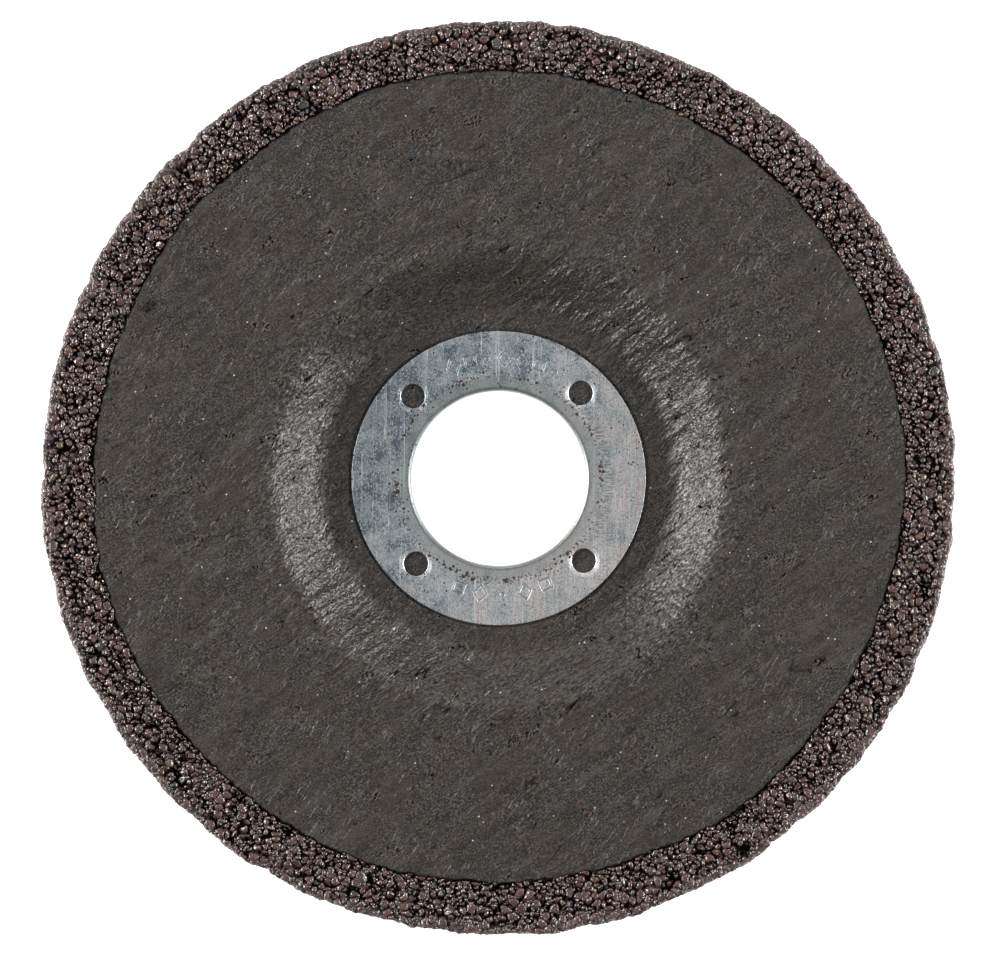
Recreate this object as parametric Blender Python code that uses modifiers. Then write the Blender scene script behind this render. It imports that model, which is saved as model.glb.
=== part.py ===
"""Depressed-centre grinding wheel for an angle grinder, 115 x 6 mm with a 22.23 mm bore.

The wheel lies flat with its recess up: the origin is the bore's centre on the back of the hub, the lowest
plane. It is pressed in a mould as a stack, from the machine side (down) to the work side (up): printed label,
glass nets with two layers of resin-bonded grain between them, paper facing, and a steel arbor ring.
Every piece but the ring follows one dish at its own height in the stack: the nets are lattices bent to it,
and the other pieces are turned profiles.
"""

import math

import bmesh
import bpy
from mathutils import Matrix

MM = 0.001

# Driving dimensions, in millimetres.
WHEEL_RADIUS = 57.5
THICKNESS = 6.0
RECESS_DEPTH = 4.6  # the hub is pressed back by this much from the rest of the wheel
RECESS_FLOOR_RADIUS = 21.5
RECESS_MOUTH_RADIUS = 29.6
BORE_RADIUS = 22.23 / 2

PAPER_RADIUS = 51.0
LABEL_RADIUS = 50.0
BACK_NET_RADIUS = 54.5
MIDDLE_NET_RADIUS = 55.5
HUB_NET_RADIUS = 35.0

PAPER = 0.25
LABEL = 0.20
GAP = 0.04  # clearance between the ring and the skins that it presses down
NET_PITCH = 10.0
YARN_WIDTH = 1.2
YARN = 0.22  # thickness of a net pressed flat
NET_CLEARANCE = 0.20  # resin over and under a net
STEP = 0.30  # radial run of a step in a moulded face
ARRIS = 0.60  # worn corner of the wheel's edge

RING_RADIUS = 18.6
RING_METAL = 0.4
RING_STANDS_PROUD = 0.25
RING_BEND_RADIUS = 0.6  # of the flange's upper face where it turns down into the bore
COLLAR_END = 0.6  # height of the collar's free end above the back of the hub
ANCHOR_HOLE_RADIUS = 1.5
ANCHOR_CIRCLE_RADIUS = 15.0
ANCHOR_HOLES = 4
ANCHOR_TURN = math.radians(46.1)

MIDDLE_NET_TURN = math.radians(35)
FRONT_NET_TURN = math.radians(12)

SEGMENTS = 48
DISH_SAMPLES = 4
BEND_SAMPLES = 3

# Where the pieces end round the bore.
COLLAR_OUTER = BORE_RADIUS + RING_METAL
MIX_BORE = COLLAR_OUTER + 0.15
SEAT_START = BORE_RADIUS + RING_BEND_RADIUS + 0.6  # the front skins start outside the ring's bend
FOOT_RADIUS = 14.7  # bare grain round the bore on the back, which the machine's flange clamps
BACK_SKIN_START = FOOT_RADIUS + STEP

# Heights in the stack above the back of the hub, where the wheel is flat.
BACK_NET = LABEL + NET_CLEARANCE
HUB_NET = BACK_NET + YARN + NET_CLEARANCE
MIDDLE_NET = THICKNESS / 2 - YARN / 2
PAPER_LOW = THICKNESS - PAPER
FRONT_NET = PAPER_LOW - NET_CLEARANCE - YARN
RING_TOP = THICKNESS + RING_STANDS_PROUD
SEAT_DROP = THICKNESS - (RING_TOP - RING_METAL - GAP)  # the flange presses the front skins down by this much

BROWN_GRAIN = (0.075, 0.052, 0.050)
CHARCOAL_PAPER = (0.052, 0.048, 0.042)
GLASS_YARN = (0.42, 0.36, 0.22)
LABEL_PRINT = (0.035, 0.16, 0.24)
ZINC = (0.50, 0.51, 0.52)


def clear_scene():
    for obj in list(bpy.data.objects):
        bpy.data.objects.remove(obj)


def collection(name):
    made = bpy.data.collections.new(name)
    bpy.context.scene.collection.children.link(made)
    return made


def material(name, colour, roughness, metallic=0.0):
    made = bpy.data.materials.new(name)
    made.use_nodes = True
    shader = made.node_tree.nodes["Principled BSDF"]
    shader.inputs["Base Color"].default_value = (*colour, 1.0)
    shader.inputs["Roughness"].default_value = roughness
    shader.inputs["Metallic"].default_value = metallic
    return made


def dish(radius):
    """Height of the moulded shape: low across the hub, a smooth slope, then level out to the edge."""
    along = (radius - RECESS_FLOOR_RADIUS) / (RECESS_MOUTH_RADIUS - RECESS_FLOOR_RADIUS)
    along = min(max(along, 0.0), 1.0)
    return RECESS_DEPTH * along * along * (3 - 2 * along)


def dish_facet(radius):
    """The dish as the turned pieces have it, straight between the radii of its slope."""
    radii = slope_radii()
    if not radii[0] < radius < radii[-1]:
        return dish(radius)
    for r0, r1 in zip(radii, radii[1:]):
        if r0 <= radius <= r1:
            share = (radius - r0) / (r1 - r0)
            return dish(r0) * (1 - share) + dish(r1) * share
    raise ValueError(f"radius {radius} is outside the slope")


def slope_radii():
    run = RECESS_MOUTH_RADIUS - RECESS_FLOOR_RADIUS
    return [RECESS_FLOOR_RADIUS + run * i / DISH_SAMPLES for i in range(DISH_SAMPLES + 1)]


def level_at(levels, radius):
    """The stack height at a radius, between the (radius, height) corners of a face."""
    for (r0, h0), (r1, h1) in zip(levels, levels[1:]):
        if r0 <= radius <= r1:
            return h0 + (h1 - h0) * (radius - r0) / (r1 - r0)
    raise ValueError(f"radius {radius} is outside the face")


def face_line(levels):
    """The face as (radius, height) points from the bore outwards, bent to the dish."""
    first, last = levels[0][0], levels[-1][0]
    radii = {r for r, _ in levels} | {r for r in slope_radii() if first < r < last}
    return [(r, level_at(levels, r) + dish(r)) for r in sorted(radii)]


def turned(name, outline, home, look):
    """A closed outline of (radius, height) points in millimetres, turned about the Z axis."""
    mesh = bpy.data.meshes.new(name)
    points = [(r * MM, 0.0, z * MM) for r, z in outline]
    edges = [(i, (i + 1) % len(points)) for i in range(len(points))]
    mesh.from_pydata(points, edges, [])
    obj = bpy.data.objects.new(name, mesh)
    home.objects.link(obj)
    mesh.materials.append(look)
    screw = obj.modifiers.new("Turn", "SCREW")
    screw.steps = screw.render_steps = SEGMENTS
    screw.use_merge_vertices = True
    screw.merge_threshold = 1e-5
    screw.use_smooth_shade = True
    return obj


def raised(levels, thickness):
    """The upper face of a skin of even thickness."""
    return [(r, h + thickness) for r, h in levels]


def layer(name, low, high, home, look):
    """A layer of the stack between two faces, each given by its (radius, height) corners."""
    return turned(name, face_line(high) + face_line(low)[::-1], home, look)


def seat_step(height, run):
    """A face on the work side, pressed down where the ring's flange sits on it, over a run round its edge."""
    middle = RING_RADIUS + STEP
    return [
        (SEAT_START, height - SEAT_DROP),
        (middle - run / 2, height - SEAT_DROP),
        (middle + run / 2, height),
        (PAPER_RADIUS, height),
    ]


class Net:
    """A square lattice of flat yarns, cut to a ring and bent to the dish.

    levels is the (radius, height) line of its underside, which sets its inner and outer radius too.
    """

    def __init__(self, levels, turn):
        self.levels = levels
        self.inner, self.outer = levels[0][0], levels[-1][0]
        self.turn = Matrix.Rotation(turn, 4, "Z")
        self.half = YARN_WIDTH / 2
        self.bends = [r for r, _ in face_line(levels)][1:-1]
        self.shape = bmesh.new()
        self.corners = {}

    def holds(self, x, y):
        """Whether the whole crossing of the yarns at x and y lies between the two radii."""
        nearest = math.hypot(max(abs(x) - self.half, 0), max(abs(y) - self.half, 0))
        farthest = math.hypot(abs(x) + self.half, abs(y) + self.half)
        return nearest >= self.inner and farthest <= self.outer

    def corner(self, x, y):
        key = (round(x, 4), round(y, 4))
        if key not in self.corners:
            radius = min(max(math.hypot(x, y), self.inner), self.outer)
            height = level_at(self.levels, radius) + dish_facet(radius)
            self.corners[key] = self.shape.verts.new((x * MM, y * MM, height * MM))
        return self.corners[key]

    def patch(self, start, end, way):
        """A piece of yarn from start to end, both (x, y) on its middle line, running along way."""
        side_x, side_y = -way[1] * self.half, way[0] * self.half
        ring = [
            self.corner(start[0] - side_x, start[1] - side_y),
            self.corner(end[0] - side_x, end[1] - side_y),
            self.corner(end[0] + side_x, end[1] + side_y),
            self.corner(start[0] + side_x, start[1] + side_y),
        ]
        self.shape.faces.new(ring)

    def loose_end(self, along, across):
        """How far from a crossing the yarn runs on when no other crossing follows."""
        if along >= 0:
            limit = math.sqrt(self.outer**2 - (across + self.half) ** 2) - along
        else:
            limit = -along - math.sqrt(self.inner**2 - max(across - self.half, 0) ** 2)
        return min(limit, NET_PITCH - 2 * self.half)

    def run(self, x, y, way, crossings):
        """The yarn between the crossing at x and y and the next one that way, or its loose end.

        A stretch between two crossings is made once, from the end with the lower coordinate.
        """
        along = x * way[0] + y * way[1]
        across = abs(x * way[1]) + abs(y * way[0])
        following = (x + NET_PITCH * way[0], y + NET_PITCH * way[1])
        if following in crossings:
            if way[0] + way[1] < 0:
                return
            last = NET_PITCH - self.half
        else:
            last = self.loose_end(along, across)
        if last <= self.half:
            return
        stations = [self.half, last]
        for radius in self.bends:
            if radius > across:
                reach = math.sqrt(radius**2 - across**2)
                stations += [s for s in (reach - along, -reach - along) if self.half < s < last]
        stations.sort()
        places = [(x + way[0] * s, y + way[1] * s) for s in stations]
        for start, end in zip(places, places[1:]):
            self.patch(start, end, way)

    def build(self, name, home, look):
        count = int(self.outer // NET_PITCH)
        lines = [i * NET_PITCH for i in range(-count, count + 1)]
        crossings = {(x, y) for x in lines for y in lines if self.holds(x, y)}
        for x, y in sorted(crossings):
            self.patch((x - self.half, y), (x + self.half, y), (1, 0))
            for way in ((1, 0), (-1, 0), (0, 1), (0, -1)):
                self.run(x, y, way, crossings)
        faces = self.shape.faces[:]
        raised = bmesh.ops.extrude_face_region(self.shape, geom=faces)["geom"]
        top = [v for v in raised if isinstance(v, bmesh.types.BMVert)]
        bmesh.ops.translate(self.shape, verts=top, vec=(0, 0, YARN * MM))
        bmesh.ops.recalc_face_normals(self.shape, faces=self.shape.faces[:])
        self.shape.transform(self.turn)
        mesh = bpy.data.meshes.new(name)
        self.shape.to_mesh(mesh)
        self.shape.free()
        mesh.materials.append(look)
        obj = bpy.data.objects.new(name, mesh)
        home.objects.link(obj)
        return obj


def back_abrasive(home, look):
    """Grain from the bare foot round the bore, over the back nets, to the middle net."""
    under_hub_net = HUB_NET + YARN + NET_CLEARANCE
    under_back_net = BACK_NET + YARN + NET_CLEARANCE
    rim = LABEL / 2
    low = [
        (MIX_BORE, 0.0),
        (FOOT_RADIUS, 0.0),
        (FOOT_RADIUS + STEP / 2, under_hub_net),
        (HUB_NET_RADIUS + STEP / 2, under_hub_net),
        (HUB_NET_RADIUS + 3 * STEP / 2, under_back_net),
        (BACK_NET_RADIUS + STEP / 2, under_back_net),
        (BACK_NET_RADIUS + 3 * STEP / 2, rim),
        (WHEEL_RADIUS - ARRIS, rim),
        (WHEEL_RADIUS, rim + ARRIS),
    ]
    top = MIDDLE_NET - NET_CLEARANCE
    high = [
        (MIX_BORE, top),
        (MIDDLE_NET_RADIUS + STEP / 2, top),
        (MIDDLE_NET_RADIUS + 3 * STEP / 2, (THICKNESS - GAP) / 2),
        (WHEEL_RADIUS, (THICKNESS - GAP) / 2),
    ]
    return layer("back_abrasive_layer", low, high, home, look)


def front_abrasive(home, look):
    """Grain from the middle net to the front net, and up to the work face outside the paper."""
    floor = MIDDLE_NET + YARN + NET_CLEARANCE
    low = [
        (MIX_BORE, floor),
        (MIDDLE_NET_RADIUS + STEP / 2, floor),
        (MIDDLE_NET_RADIUS + 3 * STEP / 2, (THICKNESS + GAP) / 2),
        (WHEEL_RADIUS, (THICKNESS + GAP) / 2),
    ]
    top = FRONT_NET - NET_CLEARANCE
    high = [
        (MIX_BORE, top - SEAT_DROP - RING_BEND_RADIUS / 2),
        (SEAT_START, top - SEAT_DROP),
        (RING_RADIUS + STEP / 2, top - SEAT_DROP),
        (RING_RADIUS + 3 * STEP / 2, top),
        (PAPER_RADIUS + STEP / 2, top),
        (PAPER_RADIUS + STEP, THICKNESS),
        (WHEEL_RADIUS - ARRIS, THICKNESS),
        (WHEEL_RADIUS, THICKNESS - ARRIS),
    ]
    return layer("front_abrasive_layer", low, high, home, look)


def bend_line(radius):
    """A quarter turn from the level flange down into the bore, outside end first."""
    centre_r = BORE_RADIUS + RING_BEND_RADIUS
    centre_z = RING_TOP - RING_BEND_RADIUS
    angles = [math.pi / 2 * (1 + i / BEND_SAMPLES) for i in range(BEND_SAMPLES + 1)]
    return [(centre_r + radius * math.cos(a), centre_z + radius * math.sin(a)) for a in angles]


def arbor_ring(home, tools, look):
    """A pressed steel washer: its inner edge is drawn down through the bore, and its flange has anchor holes."""
    upper = bend_line(RING_BEND_RADIUS) + [(BORE_RADIUS, COLLAR_END)]
    lower = bend_line(RING_BEND_RADIUS - RING_METAL) + [(COLLAR_OUTER, COLLAR_END)]
    rim = [(RING_RADIUS, RING_TOP), (RING_RADIUS, RING_TOP - RING_METAL)]
    ring = turned("arbor_ring", rim + lower + upper[::-1], home, look)
    for i in range(ANCHOR_HOLES):
        angle = ANCHOR_TURN + 2 * math.pi * i / ANCHOR_HOLES
        cutter = anchor_cutter(f"anchor_cutter_{i + 1}", angle, tools)
        cut = ring.modifiers.new(f"Anchor hole {i + 1}", "BOOLEAN")
        cut.operation = "DIFFERENCE"
        cut.object = cutter
    return ring


def anchor_cutter(name, angle, tools):
    shape = bmesh.new()
    bmesh.ops.create_cone(
        shape,
        cap_ends=True,
        segments=16,
        radius1=ANCHOR_HOLE_RADIUS * MM,
        radius2=ANCHOR_HOLE_RADIUS * MM,
        depth=4 * RING_METAL * MM,
    )
    across = ANCHOR_CIRCLE_RADIUS * MM
    place = (across * math.cos(angle), across * math.sin(angle), (RING_TOP - RING_METAL / 2) * MM)
    shape.transform(Matrix.Translation(place))
    mesh = bpy.data.meshes.new(name)
    shape.to_mesh(mesh)
    shape.free()
    cutter = bpy.data.objects.new(name, mesh)
    cutter.hide_render = True
    cutter.display_type = "WIRE"
    tools.objects.link(cutter)
    return cutter


def build():
    clear_scene()
    home = collection("grinding_wheel")
    tools = collection("cutters")
    grain = material("bonded_grain", BROWN_GRAIN, 0.55)
    glass = material("glass_net", GLASS_YARN, 0.45)
    paper = material("facing_paper", CHARCOAL_PAPER, 0.6)
    label = material("label_print", LABEL_PRINT, 0.45)
    zinc = material("zinc_plated_steel", ZINC, 0.35, metallic=1.0)

    flat = [(BACK_SKIN_START, 0.0), (LABEL_RADIUS, 0.0)]
    layer("label", flat, raised(flat, LABEL), home, label)
    flat = [(BACK_SKIN_START, BACK_NET), (BACK_NET_RADIUS, BACK_NET)]
    Net(flat, 0.0).build("back_glass_net", home, glass)
    flat = [(BACK_SKIN_START, HUB_NET), (HUB_NET_RADIUS, HUB_NET)]
    Net(flat, 0.0).build("hub_glass_net", home, glass)
    back_abrasive(home, grain)
    flat = [(MIX_BORE + STEP, MIDDLE_NET), (MIDDLE_NET_RADIUS, MIDDLE_NET)]
    Net(flat, MIDDLE_NET_TURN).build("middle_glass_net", home, glass)
    front_abrasive(home, grain)
    Net(seat_step(FRONT_NET, 4 * STEP), FRONT_NET_TURN).build("front_glass_net", home, glass)
    paper_low = seat_step(PAPER_LOW, STEP)
    layer("front_paper", paper_low, raised(paper_low, PAPER), home, paper)
    arbor_ring(home, tools, zinc)


build()
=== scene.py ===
"""The looks of a depressed-centre grinding wheel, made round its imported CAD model.

Lengths are in millimetres until a mesh is made. Each moulded body is a grid: its rows follow a closed
profile, read from the CAD node that it stands for, and its columns go round the Z axis.
"""

import itertools
import math

import bpy
import numpy as np
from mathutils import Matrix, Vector


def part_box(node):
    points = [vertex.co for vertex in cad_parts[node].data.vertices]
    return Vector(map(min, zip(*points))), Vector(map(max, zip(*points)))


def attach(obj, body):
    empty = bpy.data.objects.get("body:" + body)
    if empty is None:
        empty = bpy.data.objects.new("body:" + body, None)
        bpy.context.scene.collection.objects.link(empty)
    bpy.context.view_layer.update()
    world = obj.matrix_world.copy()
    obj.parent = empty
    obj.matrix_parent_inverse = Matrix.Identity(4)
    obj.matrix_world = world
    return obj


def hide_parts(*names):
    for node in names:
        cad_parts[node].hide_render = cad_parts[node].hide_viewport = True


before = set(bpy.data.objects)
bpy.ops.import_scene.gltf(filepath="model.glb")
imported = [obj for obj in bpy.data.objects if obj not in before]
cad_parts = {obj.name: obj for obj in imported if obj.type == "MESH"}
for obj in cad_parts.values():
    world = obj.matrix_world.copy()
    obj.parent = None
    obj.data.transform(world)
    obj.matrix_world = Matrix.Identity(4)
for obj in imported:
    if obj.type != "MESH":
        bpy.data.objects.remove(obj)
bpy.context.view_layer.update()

MM = 0.001
TURN = 2 * math.pi


# --- What the CAD model says ---

def face_line(node, side):
    """(radius, height) points, bore outwards, of a turned CAD node's upper (1) or lower (-1) side."""
    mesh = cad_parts[node].data
    level = {}
    for face in mesh.polygons:
        if face.normal.z * side < 0.5:
            continue
        for index in face.vertices:
            place = mesh.vertices[index].co / MM
            level[round(place.xy.length, 3)] = place.z
    return np.array(sorted(level.items()))


def node_radii(node):
    """The smallest and the largest radius of a CAD node."""
    radii = [v.co.xy.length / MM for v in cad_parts[node].data.vertices]
    return min(radii), max(radii)


DISH_LINE = face_line("label", -1)
RECESS_DEPTH = DISH_LINE[:, 1].max()
RECESS_FLOOR = DISH_LINE[DISH_LINE[:, 1] < 0.01, 0].max()
RECESS_MOUTH = DISH_LINE[DISH_LINE[:, 1] > RECESS_DEPTH - 0.01, 0].min()
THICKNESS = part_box("front_abrasive_layer")[1].z / MM - RECESS_DEPTH
WHEEL_RADIUS = node_radii("front_abrasive_layer")[1]
PAPER_RADIUS = node_radii("front_paper")[1]
BORE_RADIUS, RING_RADIUS = node_radii("arbor_ring")
ANCHOR_HOLES = 4
RING_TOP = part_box("arbor_ring")[1].z / MM
COLLAR_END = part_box("arbor_ring")[0].z / MM
FLANGE_LINE = face_line("arbor_ring", 1)
BEND_END = FLANGE_LINE[FLANGE_LINE[:, 1] > RING_TOP - 0.01, 0].min()
RING_METAL = RING_TOP - face_line("arbor_ring", -1)[-1, 1]
LIP_BEND = RING_METAL + 0.06  # outer radius of the bend from the flange into the collar
DIP_START, DIP_DEPTH = 13.1, 0.13  # the flange sinks a little from this radius to the bore
NET_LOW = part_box("back_glass_net")[0].z / MM


def anchor_holes():
    """(x, y, radius) of each hole through the ring's flange."""
    flange = [v.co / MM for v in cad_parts["arbor_ring"].data.vertices if v.co.z / MM > RING_TOP - 0.01]
    rims = [p for p in flange if BEND_END + 0.1 < p.xy.length < RING_RADIUS - 0.1]
    found = []
    for quarter in range(ANCHOR_HOLES):
        near = [p.xy for p in rims if int(math.atan2(p.y, p.x) % TURN / (TURN / ANCHOR_HOLES)) == quarter]
        middle = sum(near, Vector((0, 0))) / len(near)
        found.append((middle.x, middle.y, max((p - middle).length for p in near)))
    return found


def dish(radius):
    """Height of the moulded shape above the hub: a smooth slope from the recess floor to its mouth."""
    along = np.clip((radius - RECESS_FLOOR) / (RECESS_MOUTH - RECESS_FLOOR), 0, 1)
    return RECESS_DEPTH * along * along * (3 - 2 * along)


def flange_dip(radius):
    """How far the flange, and the paper under it, sink towards the bore."""
    return DIP_DEPTH * smooth_step(DIP_START, BORE_RADIUS + LIP_BEND, radius)


def stack_line(node, side):
    """The same points with the dish taken out, as the stack lies before it is pressed."""
    line = face_line(node, side)
    return [(r, z - np.interp(r, *DISH_LINE.T)) for r, z in line]


# --- Repeatable noise ---

def chance(cells, seed):
    """A repeatable number from 0 to 1 for each whole-number cell; the last axis is x, y, z."""
    keys = np.array([73856093, 19349663, 83492791], np.uint64)[: cells.shape[-1]]
    mixed = (cells.astype(np.int64).astype(np.uint64) * keys).sum(axis=-1, dtype=np.uint64)
    low_bits = np.uint64(0xFFFFFFFF)
    mixed = (mixed + np.uint64(seed * 2654435761)) & low_bits
    for factor in (2246822519, 3266489917):
        mixed = (mixed ^ (mixed >> np.uint64(15))) * np.uint64(factor) & low_bits
    return (mixed ^ (mixed >> np.uint64(16))) / 0xFFFFFFFF


def noise(points, size, seed, octaves=1):
    """Smooth noise of about -1 to 1 that varies over size millimetres, with finer octaves added."""
    total = np.zeros(len(points))
    for octave in range(octaves):
        scaled = points * 2.0**octave / size
        base = np.floor(scaled)
        part = scaled - base
        fade = part * part * part * (part * (part * 6 - 15) + 10)
        for corner in itertools.product((0, 1), repeat=points.shape[1]):
            corner = np.array(corner)
            weight = np.prod(np.where(corner, fade, 1 - fade), axis=1)
            for axis in range(points.shape[1]):
                lean = 2 * chance(base + corner, seed + 31 * octave + 7 * axis) - 1
                total += weight * lean * (part[:, axis] - corner[axis]) * 2 * 0.55**octave
    return total


def stretched(points, direction, ratio):
    """The points squeezed along a direction in degrees, so that noise on them runs that way."""
    angle = math.radians(direction)
    along = points[:, 0] * math.cos(angle) + points[:, 1] * math.sin(angle)
    across = points[:, 1] * math.cos(angle) - points[:, 0] * math.sin(angle)
    return np.stack([along / ratio, across], axis=1)


def round_noise(turn, knots, seed):
    """Noise of -1 to 1 round the wheel, straight between its knots."""
    values = chance(np.arange(knots)[:, None], seed) * 2 - 1
    return np.interp(turn % TURN / TURN * knots, np.arange(knots + 1), np.append(values, values[0]))


def smooth_step(low, high, value):
    share = np.clip((value - low) / (high - low), 0, 1)
    return share * share * (3 - 2 * share)


class Grains:
    """Random grains of a bonded mix, one for each cell of a lattice, as they meet the points given."""

    CORNER = 0.055  # how far apart two borders are when they still round off the corner between them

    def __init__(self, points, size, seed):
        cell = np.floor(points / size)
        self.points, self.seed = points, seed
        self.centre, self.cell = np.zeros(points.shape), np.zeros(points.shape)
        nearest = np.full(len(points), np.inf)
        middles = []
        for shift in itertools.product((-1, 0, 1), repeat=3):
            near = cell + np.array(shift)
            middle = (near + np.stack([chance(near, seed + axis) for axis in range(3)], axis=1)) * size
            middles.append(middle)
            away = ((points - middle) ** 2).sum(axis=1)
            closer = away < nearest
            nearest[closer] = away[closer]
            self.centre[closer] = middle[closer]
            self.cell[closer] = near[closer]
        crowding = np.zeros(len(points))
        for middle in middles:
            apart = np.linalg.norm(middle - self.centre, axis=1)
            border = (((points - middle) ** 2).sum(axis=1) - nearest) / (2 * np.maximum(apart, 1e-6))
            crowding += np.where(apart > 1e-6, np.exp(-border / self.CORNER), 0)
        self.border = np.maximum(-self.CORNER * np.log(crowding), 0)

    def pick(self, salt):
        """A random number from 0 to 1 for the grain at each point."""
        return chance(self.cell, self.seed + 100 + salt)

    def tilt(self, salt, steepness):
        """Height of a flat facet through the grain's middle, tilted at random."""
        lean = np.stack([self.pick(salt + axis) for axis in range(3)], axis=1) * 2 - 1
        return ((self.points - self.centre) * lean).sum(axis=1) * steepness


# --- Meshes ---

def outward(points, faces):
    """The four-sided faces of a closed mesh, turned round if they point inwards."""
    a, b, c, d = (points[faces[:, k]] for k in range(4))
    volume = (np.cross(a, b) * c).sum() + (np.cross(a, c) * d).sum()
    return faces if volume > 0 else faces[:, ::-1]


def mesh_piece(name, points, faces, look, **values):
    """A smooth-shaded object from points in millimetres, with named values for its points."""
    faces = outward(points, faces)
    mesh = bpy.data.meshes.new(name)
    mesh.vertices.add(len(points))
    mesh.vertices.foreach_set("co", (points * MM).astype(np.float32).ravel())
    mesh.loops.add(faces.size)
    mesh.loops.foreach_set("vertex_index", faces.astype(np.int32).ravel())
    mesh.polygons.add(len(faces))
    mesh.polygons.foreach_set("loop_start", np.arange(0, faces.size, 4, dtype=np.int32))
    mesh.update(calc_edges=True)
    mesh.shade_smooth()
    mesh.materials.append(look)
    for key, value in values.items():
        layer = mesh.attributes.new(key, "FLOAT", "POINT")
        layer.data.foreach_set("value", np.asarray(value, np.float32))
    piece = bpy.data.objects.new(name, mesh)
    bpy.context.scene.collection.objects.link(piece)
    return piece


def hand_over(piece, node):
    """The piece rides on the wheel and stands for a CAD node, which it hides."""
    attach(piece, "root")
    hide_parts(node)


def spaced(corners, pitch):
    """Points along the line through the corners, about pitch(radius) apart."""
    points = [corners[0]]
    for start, end in zip(corners, corners[1:]):
        step = pitch((start[0] + end[0]) / 2)
        count = max(1, round(math.dist(start, end) / step))
        for share in np.arange(1, count + 1) / count:
            points.append((start[0] + (end[0] - start[0]) * share, start[1] + (end[1] - start[1]) * share))
    return points


def quarter_round(centre, radius, start, steps=6):
    """Points of a quarter turn clockwise round a centre, from an angle in degrees."""
    turns = np.radians(start - 90 * np.linspace(0, 1, steps + 1))
    return [(centre[0] + radius * math.cos(a), centre[1] + radius * math.sin(a)) for a in turns]


def loop_faces(rows, columns):
    """Quads of a grid that is closed both round its profile and round the axis."""
    i, j = np.meshgrid(np.arange(rows), np.arange(columns), indexing="ij")
    down, right = (i + 1) % rows, (j + 1) % columns
    corners = [i * columns + j, i * columns + right, down * columns + right, down * columns + j]
    return np.stack(corners, axis=-1).reshape(-1, 4)


def strip_faces(rows, columns):
    """Quads of a grid that is closed round the axis and open along its profile."""
    return loop_faces(rows, columns)[: (rows - 1) * columns]


def turned_points(radii, heights, turn):
    """Points of a grid, row by row, with one column for each angle in turn."""
    return np.stack([radii * np.cos(turn), radii * np.sin(turn), heights], axis=-1).reshape(-1, 3)


def angles(columns):
    return (np.arange(columns) * TURN / columns)[None, :]


# --- Facing paper ---

PAPER_COLUMNS = 1600
LOWEST_CRINKLE, HIGHEST_CRINKLE = -0.12, 0.26
TEAR_DEPTH = 0.08
CRACK_HALF_WIDTH = 0.038  # as a share of the noise that the cracks follow


def paper_edge(turn):
    """Radius at which the facing paper ends, torn a little unevenly."""
    sway = 0.30 * round_noise(turn, 26, 6) + 0.16 * round_noise(turn, 110, 7)
    return PAPER_RADIUS + sway + 0.15 * round_noise(turn, 560, 8)


def crumpled(radius):
    """1 on the slope of the recess, where the paper had to crumple, and 0 on the flat."""
    inside = smooth_step(RECESS_FLOOR - 2, RECESS_FLOOR + 2, radius)
    return inside * (1 - smooth_step(RECESS_MOUTH - 0.5, RECESS_MOUTH + 4, radius))


def fissures(flat, direction, size, seed):
    """1 along the middle of short, thin cracks that run in a direction in degrees, and 0 away from them."""
    line = np.abs(noise(stretched(flat, direction, 6.0), size, seed, octaves=2))
    here = smooth_step(0.22, 0.50, noise(flat, 2.8, seed + 1, octaves=2))
    return here * np.exp(-((line / CRACK_HALF_WIDTH) ** 2))


def paper_relief(x, y):
    """Height of the crinkles pressed into the facing paper, and how deep its tears are, from 0 to 1."""
    flat = np.stack([x, y], axis=1)
    radius = np.hypot(x, y)
    slope = crumpled(radius)
    sag = 0.09 * noise(flat, 11.0, 11, octaves=2)
    lumps = 0.07 * (1 - slope) * noise(stretched(flat, 55, 2.2), 2.9, 25, octaves=2)
    folds = (0.012 + 0.070 * slope) * noise(stretched(flat, 36, 4.0), 1.30, 12, octaves=2)
    ridges = 1 - np.abs(noise(stretched(flat, 39, 5.5), 1.9, 13, octaves=2))
    ridges = (0.006 + 0.120 * slope) * (ridges**5 - 0.3)
    swells = 0.20 * slope * noise(stretched(flat, 38, 2.5), 3.6, 18)
    wrinkles = np.maximum(noise(stretched(flat, 62, 6.0), 0.95, 14) - 0.20, 0)
    wrinkles = 0.10 * wrinkles * np.clip(0.2 + 1.1 * noise(flat, 8.0, 15), 0, 1)

    # Puckers fan out across the mouth of the recess.
    turn = np.arctan2(y, x)
    fan = np.stack([np.cos(turn), np.sin(turn), radius * 0.012], axis=1) * RECESS_MOUTH
    mouth = np.exp(-(((radius - RECESS_MOUTH + 0.6) / 1.9) ** 2))
    puckers = 0.06 * mouth * noise(fan, 1.1, 16, octaves=2)

    slope_tears = slope * fissures(flat, 38, 1.9, 17)
    flat_tears = 0.6 * (1 - slope) * fissures(flat, 26, 2.4, 19)
    tears = np.maximum(slope_tears, flat_tears)
    relief = sag + lumps + folds + ridges + swells + wrinkles + puckers - TEAR_DEPTH * tears
    return np.clip(relief, LOWEST_CRINKLE, HIGHEST_CRINKLE), tears


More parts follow.
